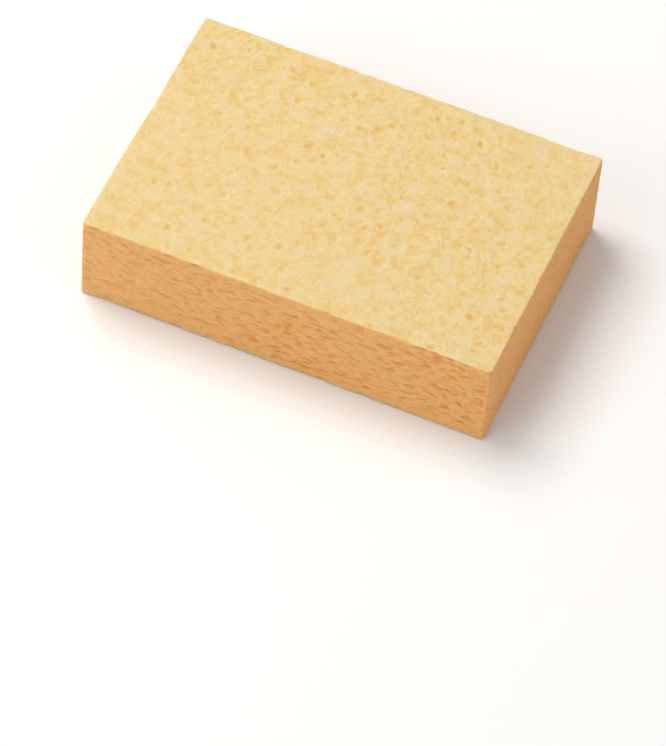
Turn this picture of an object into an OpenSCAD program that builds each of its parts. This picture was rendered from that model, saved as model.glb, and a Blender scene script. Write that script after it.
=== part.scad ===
// Cleaning sponge: one dry block of cellulose foam, cut square from a larger slab.
// Millimetres, +Z up, origin under the middle of the block on the face that it rests on.
// The block is whole inside. Every face is opened by the blade into shallow pores.

/* [Block] */
// Length of the block, along X
block_l = 152; // [100:1:200]
// Width of the block, along Y
block_w = 105; // [70:1:140]
// Thickness of the block, along Z
block_t = 38; // [20:1:60]
// Radius of the four upright corners, which wear rounder than the long edges
corner_r = 1.2; // [0.4:0.1:3]

/* [Pits in the two big faces] */
// Mouth radius of the widest pit
pit_r_max = 2; // [1.7:0.1:4]
// Mouth radius of the smallest pit
pit_r_min = 0.8; // [0.6:0.1:1.6]
// Depth of the shallowest pits for each millimetre of mouth radius
pit_sink = 0.25; // [0.2:0.01:0.5]
// Least distance between the balls that cut two of the widest pits
pit_gap = 2; // [0.4:0.1:6]

/* [Slots in the two long sides] */
// Length of the longest slot, where it opens in the side
slot_l_max = 6.4; // [5:0.2:10]
// Length of the shortest slot
slot_l_min = 2.4; // [2:0.2:4.4]
// Half height of a slot's lens for each millimetre of its length
slot_rise = 0.17; // [0.12:0.01:0.3]
// Upright distance from one row of slots to the next
slot_row = 7.4; // [5:0.2:9]

/* [Fine pores in the two short ends] */
// Mouth radius of the widest fine pore
fine_r_max = 1.3; // [1:0.1:2.4]
// Mouth radius of the smallest fine pore
fine_r_min = 0.6; // [0.4:0.1:0.9]
// Depth of a fine pore for each millimetre of its mouth radius
fine_sink = 0.5; // [0.3:0.05:0.9]
// Distance between the centres of neighbouring fine pores
fine_pitch = 9.2; // [6:0.2:12]

/* [Nicks in the edges] */
// Radius of the deepest nick, where a pore was cut open at an edge
nick_r_max = 1; // [0.8:0.1:2]
// Radius of the shallowest nick
nick_r_min = 0.5; // [0.3:0.1:0.8]
// Distance from one nick to the next along an edge
nick_pitch = 19; // [8:1:24]

/* [Foam walls] */
// Thinnest wall of foam left between two pores
pore_wall = 0.4; // [0.2:0.1:1.5]

/* [Hidden] */
$fn = 48;

// Share by which the deepest pits are deeper than the shallowest of the same width
PIT_SPREAD = 0.6;
// Share of its radius by which the middle of a slot's lens stands outside the side
SLOT_LIFT = 0.7;
// A band along each edge is kept for the nicks, and the other pores stay inside it
edge_band = nick_r_max + pore_wall;
// One number to start each face's own scatter
SEED_TOP = 1000;
SEED_UNDER = 5000;
SEED_FRONT = 9000;
SEED_BACK = 13000;
SEED_RIGHT = 17000;
SEED_LEFT = 21000;
SEED_LONG_EDGES = 25000;
SEED_SHORT_EDGES = 29000;
// Step from one column's seeds to the next, which is more than any face has rows
COLUMN_STEP = 101;
// Step between the seeds of two edges on opposite sides of the block
EDGE_STEP = 2;

// Radius of the ball whose cap has this mouth radius and this depth
function cap_ball_r(mouth_r, depth) = (mouth_r * mouth_r + depth * depth) / (2 * depth);
// Radius of a lens that opens a slot of this length
function lens_r(slot_l) = slot_l / 2 / sqrt(1 - SLOT_LIFT * SLOT_LIFT);
// Value between two sizes, with most of the draws near the small one
function mostly_small(small, large, draw) = small + (large - small) * draw * draw;
// Four draws from 0 to 1 that belong to one cell of a scatter
function draws(seed, column, row) = rands(0, 1, 4, seed + COLUMN_STEP * column + row);
// How many cells of one pitch fit between the edge bands of a face
function cells(span, pitch) = floor((span - 2 * edge_band) / pitch);
// Middle of a cell, with the row of cells centred on the face
function cell_at(index, count, pitch) = (index - (count - 1) / 2) * pitch;
// Step aside inside a cell, which leaves the wall to the next cell whole
function stray(pitch, half_size, draw) =
    max(0, (pitch - pore_wall) / 2 - half_size) * (2 * draw - 1);

// Cut block with its upright corners worn round
module block() {
    translate([corner_r - block_l / 2, -block_w / 2, 0])
        cube([block_l - 2 * corner_r, block_w, block_t]);
    translate([-block_l / 2, corner_r - block_w / 2, 0])
        cube([block_l, block_w - 2 * corner_r, block_t]);
    for (x = [-1, 1], y = [-1, 1])
        translate([x * (block_l / 2 - corner_r), y * (block_w / 2 - corner_r), 0])
            cylinder(h = block_t, r = corner_r);
}

// Shallow round pit in a face whose outside is +Z
module pit(mouth_r, depth) {
    ball_r = cap_ball_r(mouth_r, depth);
    translate([0, 0, ball_r - depth]) sphere(ball_r);
}

// Flattened pore in a side whose outside is +Z, with its long way along X
module slot(slot_l) {
    reach = lens_r(slot_l);
    half_h = slot_rise * slot_l;
    ball_r = cap_ball_r(reach, half_h);
    translate([0, 0, SLOT_LIFT * reach])
        intersection() {
            translate([0, ball_r - half_h, 0]) rotate([0, -90, 0]) sphere(ball_r);
            translate([0, half_h - ball_r, 0]) rotate([0, -90, 0]) sphere(ball_r);
        }
}

// Pits scattered over a big face, in staggered rows
module pit_field(seed) {
    pitch = 2 * cap_ball_r(pit_r_max, pit_sink * pit_r_max) + pit_gap;
    columns = cells(block_l, pitch);
    rows = cells(block_w, pitch);
    for (row = [0 : rows - 1])
        for (column = [0 : columns - 1 - row % 2]) {
            d = draws(seed, column, row);
            mouth_r = mostly_small(pit_r_min, pit_r_max, d[0]);
            depth = pit_sink * mouth_r * (1 + PIT_SPREAD * d[1]);
            ball_r = cap_ball_r(mouth_r, depth);
            translate([cell_at(column, columns - row % 2, pitch) + stray(pitch, ball_r, d[2]),
                       cell_at(row, rows, pitch) + stray(pitch, ball_r, d[3]),
                       0])
                pit(mouth_r, depth);
        }
}

// Slots scattered over a long side, in staggered rows
module slot_field(seed) {
    pitch = 2 * lens_r(slot_l_max) + pore_wall;
    columns = cells(block_l, pitch);
    rows = cells(block_t, slot_row);
    for (row = [0 : rows - 1])
        for (column = [0 : columns - 1 - row % 2]) {
            d = draws(seed, column, row);
            slot_l = mostly_small(slot_l_min, slot_l_max, d[0]);
            translate([cell_at(column, columns - row % 2, pitch) + stray(pitch, lens_r(slot_l), d[1]),
                       cell_at(row, rows, slot_row) + stray(slot_row, slot_rise * slot_l, d[2]),
                       0])
                slot(slot_l);
        }
}

// Fine pores scattered over a short end, in staggered rows
module fine_field(seed) {
    columns = cells(block_w, fine_pitch);
    rows = cells(block_t, fine_pitch);
    for (row = [0 : rows - 1])
        for (column = [0 : columns - 1 - row % 2]) {
            d = draws(seed, column, row);
            mouth_r = mostly_small(fine_r_min, fine_r_max, d[0]);
            translate([cell_at(column, columns - row % 2, fine_pitch) + stray(fine_pitch, mouth_r, d[1]),
                       cell_at(row, rows, fine_pitch) + stray(fine_pitch, mouth_r, d[2]),
                       0])
                pit(mouth_r, fine_sink * mouth_r);
        }
}

// Nicks along one edge, which runs along X through the origin
module nick_row(edge_l, seed) {
    count = cells(edge_l, nick_pitch);
    for (i = [0 : count - 1]) {
        d = draws(seed, i, 0);
        nick_r = nick_r_min + (nick_r_max - nick_r_min) * d[0];
        translate([cell_at(i, count, nick_pitch) + stray(nick_pitch, nick_r, d[1]), 0, 0])
            sphere(nick_r);
    }
}

// Nicks in the four long and the four short edges of the two big faces
module nicks() {
    for (side = [-1, 1], z = [0, 1]) {
        translate([0, side * block_w / 2, z * block_t])
            nick_row(block_l, SEED_LONG_EDGES + EDGE_STEP * side + z);
        translate([side * block_l / 2, 0, z * block_t])
            rotate([0, 0, 90])
                nick_row(block_w, SEED_SHORT_EDGES + EDGE_STEP * side + z);
    }
}

// The sponge: the block with the pores of its six faces and its edges cut away
module sponge() {
    color([0.93, 0.81, 0.55])
        difference() {
            block();
            translate([0, 0, block_t]) pit_field(SEED_TOP);
            rotate([180, 0, 0]) pit_field(SEED_UNDER);
            translate([0, -block_w / 2, block_t / 2]) rotate([90, 0, 0]) slot_field(SEED_FRONT);
            translate([0, block_w / 2, block_t / 2]) rotate([-90, 0, 0]) slot_field(SEED_BACK);
            translate([block_l / 2, 0, block_t / 2])
                rotate([90, 0, 90])
                    fine_field(SEED_RIGHT);
            translate([-block_l / 2, 0, block_t / 2])
                rotate([90, 0, -90])
                    fine_field(SEED_LEFT);
            nicks();
        }
}

sponge();
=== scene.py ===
import math

import bpy
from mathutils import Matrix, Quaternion, Vector, noise


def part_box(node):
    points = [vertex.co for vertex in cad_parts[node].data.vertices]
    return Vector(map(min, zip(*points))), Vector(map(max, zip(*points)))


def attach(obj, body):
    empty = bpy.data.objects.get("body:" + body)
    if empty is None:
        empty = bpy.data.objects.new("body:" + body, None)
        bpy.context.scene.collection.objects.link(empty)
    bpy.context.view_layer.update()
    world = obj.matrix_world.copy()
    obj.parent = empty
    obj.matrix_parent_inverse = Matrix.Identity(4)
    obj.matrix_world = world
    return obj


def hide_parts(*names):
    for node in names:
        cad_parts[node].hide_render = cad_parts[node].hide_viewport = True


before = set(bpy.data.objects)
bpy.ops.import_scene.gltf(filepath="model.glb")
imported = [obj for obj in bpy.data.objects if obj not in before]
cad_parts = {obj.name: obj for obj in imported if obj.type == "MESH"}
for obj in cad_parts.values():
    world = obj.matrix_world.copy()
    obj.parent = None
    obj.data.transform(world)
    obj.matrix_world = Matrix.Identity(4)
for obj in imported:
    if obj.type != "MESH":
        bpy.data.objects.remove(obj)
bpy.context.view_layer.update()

# Camera, as the photograph was taken: from above, in front and a little to the right.
# All angles here are in degrees and all lengths in metres, apart from the lens
CAMERA_AZIMUTH = 18.98
CAMERA_ELEVATION = 52.17
CAMERA_ROLL = 5.13
CAMERA_DISTANCE = 1.7006
CAMERA_AIM = Vector((0.0227, -0.0614, 0.019))
CAMERA_LENS_MM = 240.9
CAMERA_CLIP_START = 0.05

# Studio. The floor lies a hair under the sponge, so that the two faces don't cross
FLOOR_SIZE = 6
FLOOR_DROP = -0.0001
FLOOR_COLOUR = (0.86, 0.86, 0.86)
FLOOR_ROUGHNESS = 0.9
SURROUND_STRENGTH = 0.45
# Each light's name, azimuth, elevation, distance, size, power and colour
LIGHTS = (
    ("key_light", -110, 62, 1.6, 0.9, 18, (1, 0.97, 0.93)),
    ("front_light", -32, 33, 1.8, 1.4, 10, (1, 1, 1)),
    ("right_light", 75, 25, 2.0, 1.6, 6, (1, 0.93, 0.86)),
)

# Mesh of the foam: an even one to sculpt, which is thinned out afterwards
MERGE_DISTANCE = 1e-6
VOXEL = 0.00045
SMOOTH_SHARE = 0.5
SMOOTH_ROUNDS = 6
MOST_TRIANGLES = 190000

# Starts the noise that bends mouths and cells, which gives the same foam on each run
NOISE_SEED = 1
# How far the round mouths of the pores are bent out of shape, over what distance the bending
# changes, and how far in from the edges it is at its full
MOUTH_WARP = 0.0008
MOUTH_WARP_SIZE = 0.0034
WARP_START = 0.004

# Small foam cells pressed into each kind of face, as size and greatest depth, and soft waves
# between them. The grain stretches both along the slab that the sponge was cut from
KINDS = ("end", "side", "big")
CELLS = {
    "big": {
        "grain": (1.25, 1.0, 1.0),
        "layers": ((0.0044, 0.00034), (0.0025, 0.00030), (0.0013, 0.00014)),
        "waves": (0.0040, 0.00016),
    },
    "side": {
        "grain": (2.0, 1.0, 0.75),
        "layers": ((0.0032, 0.00042), (0.0020, 0.00040), (0.0013, 0.00026)),
        "waves": (0.0021, 0.00070),
    },
    "end": {
        "grain": (1.0, 1.3, 0.8),
        "layers": ((0.0024, 0.00045), (0.0013, 0.00022)),
        "waves": (0.0060, 0.00010),
    },
}
# Shape of one cell, in cell sizes: how far its outline is bent, how steep its wall is and how
# fast its hollow fades. Some cells stay shallow, by a chance that belongs to the cell's centre
CELL_BEND = 0.35
CELL_WALL = 4
CELL_FADE = 1.5
SHALLOW_SHARE = 0.15
CHANCE_SCALE = 7.3
# Wide swells of the whole surface, and how steeply swells and waves rise from the flat
SWELL_SIZE = 0.018
SWELL_DEPTH = 0.00032
RISE = 2
# Width of the band along each edge where the cells fade out, and what is left of them
EDGE_BAND = 0.0016
EDGE_SHARE = 0.45
# Some patches of the foam are calm and others busy, and the cells of a calm one are shallower
PATCH_SIZE = 0.055
# Start of the patch noise, set so that a calm patch lies at the front left and a busy one at the front
# right
PATCH_START = Vector((194.5, 0, 0))
PATCH_CONTRAST = 1.6
CALM_SHARE = 0.7

# Colours of the dry foam, linear
SKIN = (0.73, 0.575, 0.285)
SKIN_PALE = (0.735, 0.59, 0.36)
SKIN_SPOT = (0.715, 0.42, 0.105)
# Painted shade: deeper yellow, then orange, in the hollows of the skin, for the shade and warm bounced
# light in the pits
SKIN_HOLLOW_SHADE = (0.74, 0.50, 0.18)
SKIN_PORE_SHADE = (0.72, 0.38, 0.09)
# Orange tan of the long sides: partly the cut foam's own colour, partly painted shade and warm bounced
# light of faces that get less light than the top
SIDE = (0.84, 0.51, 0.20)
SIDE_DEEP = (0.79, 0.36, 0.115)
# Painted highlight: a paler band of the long sides along their edges with the big faces
SIDE_RIM_HIGHLIGHT = (0.82, 0.50, 0.21)
# Short ends: redder than the long sides as painted shade and warm bounced light
END = (0.86, 0.475, 0.19)
END_SPECK = (0.70, 0.295, 0.10)
# Painted shade: deep orange in the hollows of the sides and ends, for the shade and warm bounced light
# in the pores
CUT_PORE_SHADE = (0.74, 0.28, 0.075)

# Matt foam that lets a little light in
FOAM_SHADING = {
    "Roughness": 0.95,
    "Specular IOR Level": 0.08,
    "Subsurface Weight": 0.5,
    "Subsurface Radius": (1.0, 0.8, 0.6),
    "Subsurface Scale": 0.0015,
}

# Patterns in the foam, each as the size, detail and roughness of a noise
MOTTLE = (0.0040, 2, 0.6)
CREASE_BENDS = (0.0050, 0, 0.55)
CREASE_PATCHES = (0.0046, 1, 0.55)
STREAKS = (0.0021, 3, 0.66)
SPECKS = (0.0011, 3, 0.75)
CRUMB = (0.0009, 3, 0.6)
RUFFLES = (0.0020, 1, 0.5)
# How far the ruffles push, how the streaks and the crumb are stretched, and a noise's middle
RUFFLE_REACH = 0.0022
STREAK_GRAIN = (1.9, 1.0, 0.7)
CRUMB_GRAIN = (1.15, 1.0, 0.5)
NOISE_MIDDLE = 0.5
# Round spots in the skin, as their spacing and their radius as a share of it
LARGE_SPOTS = (0.0046, 0.50)
SMALL_SPOTS = (0.0021, 0.55)

# Masks, each as the value where it is 0 and the value where it is 1
FACE_BLEND = (-0.0004, 0.0004)
CLOUD_MASK = (0.24, 0.54)
SMUDGE_MASK = (0.46, 0.86)
SPOT_CHANCE_MASK = (0.3, 1.0)
CREASE_MASK = (0.09, 0.0)
CREASE_PATCH_MASK = (0.48, 0.74)
STREAK_MASK = (0.60, 0.30)
# The painted highlight of the sides is full near a big face and gone at the second value
RIM_HIGHLIGHT_MASK = (0.0005, 0.004)
SPECK_MASK = (0.29, 0.71)
# Painted shade in the hollows of the skin, by how deep the foam is pressed in
SKIN_HOLLOW_SHADE_MASK = (0.0001, 0.0006)
SKIN_PORE_SHADE_MASK = (0.0003, 0.0011)
# Painted shade in the hollows of the sides and ends, by how deep the foam is pressed in
SIDE_PORE_SHADE_MASK = (0.0002, 0.0013)
END_PORE_SHADE_MASK = (0.0001, 0.0008)

# How strongly each pattern colours the foam
SMUDGE_SHARE = 0.85
SMALL_SPOT_SHARE = 0.6
CREASE_SHARE = 0.55
SIDE_SPECK_SHARE = 0.5
# What the marks of the skin and the streaks of the sides gain from a calm patch to a busy one,
# and their share in a calm one
MARKS_IN_PATCH = (0.35, 0.80)
# The streaks of the sides deepen in a busy patch; at the front right this is partly painted shadow
STREAKS_AND_SHADOW_IN_PATCH = (0.65, 0.42)

# Relief that is too fine for the mesh, as shares of one bump height
CRUMB_HEIGHT = 1.7
FURROW_HEIGHT = 1.8
CREASE_DEPTH = 0.2
BUMP_STRENGTH = 0.8
BUMP_HEIGHT = 0.0003


def deselect():
    """Leaves nothing selected, so that the next operator acts on its own piece alone."""
    if bpy.context.object and bpy.context.object.mode != "OBJECT":
        bpy.ops.object.mode_set(mode="OBJECT")
    bpy.ops.object.select_all(action="DESELECT")


def activate(piece):
    """Selects one piece alone and makes it active."""
    deselect()
    piece.select_set(True)
    bpy.context.view_layer.objects.active = piece


def direction(azimuth, elevation):
    """Unit vector from the sponge to where it is seen or lit from."""
    a = math.radians(azimuth)
    e = math.radians(elevation)
    return Vector((math.sin(a) * math.cos(e), -math.cos(a) * math.cos(e), math.sin(e)))


def add_camera():
    """Camera at the photograph's viewing angle."""
    back = direction(CAMERA_AZIMUTH, CAMERA_ELEVATION)
    roll = Quaternion((0, 0, 1), math.radians(CAMERA_ROLL))
    turn = back.to_track_quat("Z", "Y") @ roll
    bpy.ops.object.camera_add(location=CAMERA_AIM + CAMERA_DISTANCE * back, rotation=turn.to_euler())
    camera = bpy.context.object
    camera.name = "camera"
    camera.data.lens = CAMERA_LENS_MM
    camera.data.clip_start = CAMERA_CLIP_START
    bpy.context.scene.camera = camera


def add_area_light(name, azimuth, elevation, distance, size, power, colour):
    """Square soft light that looks at the sponge from the given direction."""
    back = direction(azimuth, elevation)
    turn = back.to_track_quat("Z", "Y")
    bpy.ops.object.light_add(type="AREA", location=distance * back, rotation=turn.to_euler())
    light = bpy.context.object
    light.name = name
    light.data.size = size
    light.data.energy = power
    light.data.color = colour


def add_studio():
    """Pale floor, pale surround and soft lights."""
    deselect()
    bpy.ops.mesh.primitive_plane_add(size=FLOOR_SIZE)
    floor = bpy.context.object
    floor.name = "floor"
    floor.location.z = FLOOR_DROP
    paint = bpy.data.materials.new("floor_paint")
    paint.use_nodes = True
    shader = paint.node_tree.nodes["Principled BSDF"]
    shader.inputs["Base Color"].default_value = (*FLOOR_COLOUR, 1)
    shader.inputs["Roughness"].default_value = FLOOR_ROUGHNESS
    floor.data.materials.append(paint)

    world = bpy.data.worlds.new("studio")
    world.use_nodes = True
    surround = world.node_tree.nodes["Background"]
    surround.inputs["Color"].default_value = (1, 1, 1, 1)
    surround.inputs["Strength"].default_value = SURROUND_STRENGTH
    bpy.context.scene.world = world

    for light in LIGHTS:
        add_area_light(*light)
    bpy.context.scene.view_settings.view_transform = "Standard"


def apply_modifier(piece, kind, **settings):
    """Adds one modifier, sets it and applies it."""
    activate(piece)
    modifier = piece.modifiers.new(kind.lower(), kind)
    for name, value in settings.items():
        setattr(modifier, name, value)
    bpy.ops.object.modifier_apply(modifier=modifier.name)


def make_foam():
    """Copy of the CAD block with its pores, as an even mesh that is fine enough to sculpt."""
    activate(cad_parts["sponge"])
    bpy.ops.object.duplicate()
    foam = bpy.context.object
    foam.name = "foam_block"
    bpy.ops.object.mode_set(mode="EDIT")
    bpy.ops.mesh.select_all(action="SELECT")
    bpy.ops.mesh.remove_doubles(threshold=MERGE_DISTANCE)
    bpy.ops.object.mode_set(mode="OBJECT")
    apply_modifier(foam, "REMESH", mode="VOXEL", voxel_size=VOXEL, use_smooth_shade=True)
    apply_modifier(foam, "SMOOTH", factor=SMOOTH_SHARE, iterations=SMOOTH_ROUNDS)
    return foam


def smooth_step(value):
    """Eases from 0 to 1 as the value does."""
    value = min(1.0, max(0.0, value))
    return value * value * (3 - 2 * value)


def dips(place):
    """Soft dips with flat foam between them, from 0 to 1 deep and about 1 apart."""
    return smooth_step(RISE * noise.noise(place))


def cell_hollow(place):
    """From 0 on the wall between two foam cells to 1 in the middle of a deep cell."""
    distances, centres = noise.voronoi(place)
    chance = 0.5 + 0.5 * noise.cell(centres[0] * CHANCE_SCALE)
    own = smooth_step((chance - SHALLOW_SHARE) / (1 - SHALLOW_SHARE))
    wall = smooth_step(CELL_WALL * (distances[1] - distances[0]))
    return own * wall * smooth_step(1 - CELL_FADE * distances[0])


def cell_depth(point, kind):
    """How far the small cells and waves of one kind of face are pressed in at a point."""
    cells = CELLS[kind]
    place = Vector([c / g for c, g in zip(point, cells["grain"])])
    wave_size, wave_depth = cells["waves"]
    depth = wave_depth * dips(place / wave_size)
    for size, most in cells["layers"]:
        spot = place / size
        depth += most * cell_hollow(spot + CELL_BEND * noise.noise_vector(spot))
    return depth


def busyness(point):
    """From 0 in a calm patch of the foam to 1 in a busy one."""
    return smooth_step(0.5 + PATCH_CONTRAST * noise.noise(point / PATCH_SIZE + PATCH_START))


def keep_on_mesh(foam, name, kind, field, values):
    """Keeps one value per point on the mesh, for the material to read."""
    layer = foam.data.attributes.new(name, kind, "POINT")
    layer.data.foreach_set(field, values)


def sculpt(foam):
    """Bends the pore mouths out of round, and presses the small foam cells into every face.

    The way in from the nearest end, side and big face, how hollow the foam is and how busy its
    patch is stay on the mesh.
    """
    noise.seed_set(NOISE_SEED)
    low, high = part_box("sponge")
    moved = []
    ways_in = []
    hollows = []
    patches = []
    for vertex, normal in zip(foam.data.vertices, foam.data.vertex_normals):
        point = vertex.co
        way_in = [max(0.0, min(point[axis] - low[axis], high[axis] - point[axis])) for axis in range(3)]
        kind = KINDS[way_in.index(min(way_in))]
        edge = EDGE_SHARE + (1 - EDGE_SHARE) * smooth_step(sorted(way_in)[1] / EDGE_BAND)
        slide = noise.noise_vector(point / MOUTH_WARP_SIZE) * MOUTH_WARP
        for axis in range(3):
            slide[axis] *= smooth_step(way_in[axis] / WARP_START)
        busy = busyness(point)
        sunk = edge * (CALM_SHARE + (1 - CALM_SHARE) * busy) * cell_depth(point, kind)
        swell = SWELL_DEPTH * dips(point / SWELL_SIZE)
        moved.extend(point + slide - normal.vector * (sunk + swell))
        ways_in.extend(way_in)
        hollows.append(min(way_in) + sunk)
        patches.append(busy)
    foam.data.vertices.foreach_set("co", moved)
    keep_on_mesh(foam, "way_in", "FLOAT_VECTOR", "vector", ways_in)
    keep_on_mesh(foam, "hollow", "FLOAT", "value", hollows)
    keep_on_mesh(foam, "busy", "FLOAT", "value", patches)
    foam.data.update()


def thin_out(foam):
    """Brings the mesh under its limit, and keeps the triangles where the surface bends."""
    triangles = sum(len(face.vertices) - 2 for face in foam.data.polygons)
    share = min(1.0, MOST_TRIANGLES / triangles)
    apply_modifier(foam, "DECIMATE", ratio=share, use_collapse_triangulate=True)


def add_node(tree, kind, **values):
    """Adds a shader node and sets its inputs by name, with underscores for spaces."""
    node = tree.nodes.new(kind)
    for name, value in values.items():
        node.inputs[name.replace("_", " ")].default_value = value
    return node


def math_node(tree, operation, *values):
    """Adds a Math node. Each value is a number or the output that feeds it."""
    node = tree.nodes.new("ShaderNodeMath")
    node.operation = operation
    for socket, value in zip(node.inputs, values):
        if isinstance(value, bpy.types.NodeSocket):
            tree.links.new(value, socket)
        else:
            socket.default_value = value
    return node.outputs["Value"]


def product(tree, first, *others):
    """Multiplies several values, each of them a number or an output."""
    for other in others:
        first = math_node(tree, "MULTIPLY", first, other)
    return first


def strongest(tree, first, *others):
    """The greatest of several masks at each point."""
    for other in others:
        first = math_node(tree, "MAXIMUM", first, other)
    return first


def mask(tree, value, at_none, at_full):
    """Eases from 0 to 1 as the value goes from the one bound to the other."""
    node = add_node(tree, "ShaderNodeMapRange", From_Min=at_none, From_Max=at_full)
    node.interpolation_type = "SMOOTHSTEP"
    tree.links.new(value, node.inputs["Value"])
    return node.outputs["Result"]


def mix_colour(tree, factor, first, second):
    """Mixes two colours. Each is a linear colour or the output that feeds it."""
    node = tree.nodes.new("ShaderNodeMix")
    node.data_type = "RGBA"
    tree.links.new(factor, node.inputs["Factor"])
    for name, colour in (("A", first), ("B", second)):
        socket = next(s for s in node.inputs if s.name == name and s.type == "RGBA")
        if isinstance(colour, bpy.types.NodeSocket):
            tree.links.new(colour, socket)
        else:
            socket.default_value = (*colour, 1)
    return next(s for s in node.outputs if s.type == "RGBA")


def stretch(tree, coordinates, grain):
    """Coordinates that stretch a pattern along the grain."""
    node = tree.nodes.new("ShaderNodeMapping")
    node.inputs["Scale"].default_value = [1 / g for g in grain]
    tree.links.new(coordinates, node.inputs["Vector"])
    return node.outputs["Vector"]


def attribute(tree, name, output):
    """Output of a value that the sculpting left on the mesh."""
    node = tree.nodes.new("ShaderNodeAttribute")
    node.attribute_name = name
    return node.outputs[output]


def noise_node(tree, coordinates, size, detail, roughness):
    """Adds soft noise with features of the given size."""
    node = add_node(tree, "ShaderNodeTexNoise", Scale=1 / size, Detail=detail, Roughness=roughness)
    tree.links.new(coordinates, node.inputs["Vector"])
    return node


def noise_value(tree, coordinates, pattern):
    """One of the patterns in the foam, from about 0 to about 1."""
    return noise_node(tree, coordinates, *pattern).outputs["Fac"]


def ruffle(tree, coordinates):
    """Coordinates that are pushed about, so that round spots come out uneven."""
    push = noise_node(tree, coordinates, *RUFFLES)
    node = tree.nodes.new("ShaderNodeVectorMath")
    node.operation = "MULTIPLY_ADD"
    factor, reach, start = node.inputs[:3]
    tree.links.new(push.outputs["Color"], factor)
    reach.default_value = (RUFFLE_REACH, RUFFLE_REACH, RUFFLE_REACH)
    tree.links.new(coordinates, start)
    return node.outputs["Vector"]


def spots(tree, coordinates, spacing, radius):
    """Round soft spots, some strong and some faint, with their radius as a share of the spacing."""
    node = add_node(tree, "ShaderNodeTexVoronoi", Scale=1 / spacing)
    tree.links.new(coordinates, node.inputs["Vector"])
    chance = tree.nodes.new("ShaderNodeSeparateColor")
    tree.links.new(node.outputs["Color"], chance.inputs["Color"])
    strength = mask(tree, chance.outputs["Red"], *SPOT_CHANCE_MASK)
    return product(tree, mask(tree, node.outputs["Distance"], radius, 0.0), strength)


def creases(tree, coordinates):
    """Short soft arcs where the skin is creased."""
    bend = math_node(tree, "SUBTRACT", noise_value(tree, coordinates, CREASE_BENDS), NOISE_MIDDLE)
    arc = mask(tree, math_node(tree, "ABSOLUTE", bend), *CREASE_MASK)
    patch = mask(tree, noise_value(tree, coordinates, CREASE_PATCHES), *CREASE_PATCH_MASK)
    return product(tree, arc, patch)


def face_masks(tree):
    """1 on the four cut sides, then 1 on the two short ends, then the way in from a big face."""
    way_in = tree.nodes.new("ShaderNodeSeparateXYZ")
    tree.links.new(attribute(tree, "way_in", "Vector"), way_in.inputs["Vector"])
    to_end, to_side, to_big_face = way_in.outputs
    to_cut = math_node(tree, "MINIMUM", to_end, to_side)
    on_cut = mask(tree, math_node(tree, "SUBTRACT", to_big_face, to_cut), *FACE_BLEND)
    on_end = mask(tree, math_node(tree, "SUBTRACT", to_side, to_end), *FACE_BLEND)
    return on_cut, on_end, to_big_face


def by_patch(tree, pattern, busy, gain, calm_share):
    """Leaves a share of a pattern in a calm patch, and gains on it towards a busy one."""
    return product(tree, pattern, math_node(tree, "MULTIPLY_ADD", busy, gain, calm_share))


def skin_colour(tree, coordinates, crease, hollow, busy):
    """Pale skin of the big faces, with clouds, smudges, round spots and creases, and painted shade in
    its hollows.
    """
    mottle = noise_value(tree, coordinates, MOTTLE)
    skin = mix_colour(tree, mask(tree, mottle, *CLOUD_MASK), SKIN_PALE, SKIN)
    ruffled = ruffle(tree, coordinates)
    marks = strongest(
        tree,
        product(tree, mask(tree, mottle, *SMUDGE_MASK), SMUDGE_SHARE),
        spots(tree, ruffled, *LARGE_SPOTS),
        product(tree, spots(tree, ruffled, *SMALL_SPOTS), SMALL_SPOT_SHARE),
        product(tree, crease, CREASE_SHARE),
    )
    skin = mix_colour(tree, by_patch(tree, marks, busy, *MARKS_IN_PATCH), skin, SKIN_SPOT)
    # Painted shade: deeper yellow, then orange, where the skin is hollow
    skin = mix_colour(tree, mask(tree, hollow, *SKIN_HOLLOW_SHADE_MASK), skin, SKIN_HOLLOW_SHADE)
    return mix_colour(tree, mask(tree, hollow, *SKIN_PORE_SHADE_MASK), skin, SKIN_PORE_SHADE)


def side_colour(tree, streak, speck, to_big_face, hollow, busy):
    """Orange tan of the long sides, partly their own colour and partly painted shade, with deeper
    streaks and specks, a paler rim as a painted highlight, and painted shade in the hollows.
    """
    # Deeper streaks in busy patches, partly real busier foam and partly painted shadow at the front
    # right
    deep = by_patch(tree, mask(tree, streak, *STREAK_MASK), busy, *STREAKS_AND_SHADOW_IN_PATCH)
    side = mix_colour(tree, deep, SIDE, SIDE_DEEP)
    # Painted highlight: a paler band near the big faces
    side = mix_colour(tree, mask(tree, to_big_face, *RIM_HIGHLIGHT_MASK), SIDE_RIM_HIGHLIGHT, side)
    side = mix_colour(tree, product(tree, speck, SIDE_SPECK_SHARE), side, SIDE_DEEP)
    # Painted shade in the hollows of the sides
    return mix_colour(tree, mask(tree, hollow, *SIDE_PORE_SHADE_MASK), side, CUT_PORE_SHADE)


def end_colour(tree, speck, hollow):
    """Finely specked orange tan of the short ends, redder than the long sides as painted shade, with
    painted shade in the hollows.
    """
    end = mix_colour(tree, speck, END, END_SPECK)
    # Painted shade in the hollows of the ends
    return mix_colour(tree, mask(tree, hollow, *END_PORE_SHADE_MASK), end, CUT_PORE_SHADE)


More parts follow.
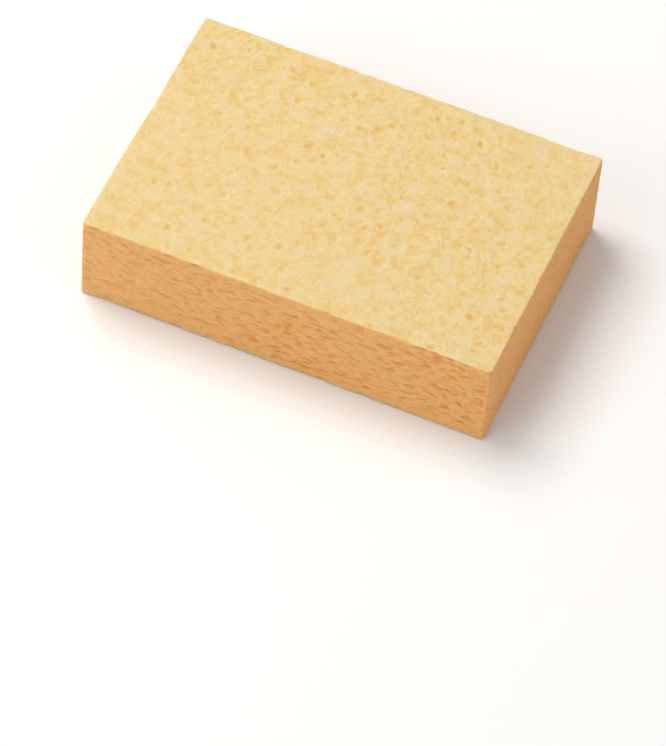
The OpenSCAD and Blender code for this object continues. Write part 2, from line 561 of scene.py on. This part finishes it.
def fine_relief(tree, coordinates, streak, crease, on_cut, on_end):
    """Height of the crumb everywhere, of furrows in the long sides and of creases in the skin."""
    crumb = noise_value(tree, stretch(tree, coordinates, CRUMB_GRAIN), CRUMB)
    off_end = math_node(tree, "SUBTRACT", 1, on_end)
    off_cut = math_node(tree, "SUBTRACT", 1, on_cut)
    furrows = product(tree, streak, on_cut, off_end, FURROW_HEIGHT)
    rise = math_node(tree, "ADD", product(tree, crumb, CRUMB_HEIGHT), furrows)
    return math_node(tree, "SUBTRACT", rise, product(tree, crease, off_cut, CREASE_DEPTH))


def foam_material():
    """Dry cellulose, with different colours on the big faces, the long sides and the short ends, partly
    its own and partly painted shade and highlight.
    """
    material = bpy.data.materials.new("dry_foam")
    material.use_nodes = True
    tree = material.node_tree
    shader = tree.nodes["Principled BSDF"]
    for name, value in FOAM_SHADING.items():
        shader.inputs[name].default_value = value

    coordinates = tree.nodes.new("ShaderNodeTexCoord").outputs["Object"]
    hollow = attribute(tree, "hollow", "Fac")
    busy = attribute(tree, "busy", "Fac")
    on_cut, on_end, to_big_face = face_masks(tree)
    crease = creases(tree, coordinates)
    streak = noise_value(tree, stretch(tree, coordinates, STREAK_GRAIN), STREAKS)
    speck = mask(tree, noise_value(tree, coordinates, SPECKS), *SPECK_MASK)

    skin = skin_colour(tree, coordinates, crease, hollow, busy)
    side = side_colour(tree, streak, speck, to_big_face, hollow, busy)
    end = end_colour(tree, speck, hollow)
    cut = mix_colour(tree, on_end, side, end)
    tree.links.new(mix_colour(tree, on_cut, skin, cut), shader.inputs["Base Color"])

    height = fine_relief(tree, coordinates, streak, crease, on_cut, on_end)
    bump = add_node(tree, "ShaderNodeBump", Strength=BUMP_STRENGTH, Distance=BUMP_HEIGHT)
    tree.links.new(height, bump.inputs["Height"])
    tree.links.new(bump.outputs["Normal"], shader.inputs["Normal"])
    return material


add_camera()
add_studio()
foam = make_foam()
sculpt(foam)
thin_out(foam)
foam.data.materials.clear()
foam.data.materials.append(foam_material())
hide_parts("sponge")
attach(foam, "root")
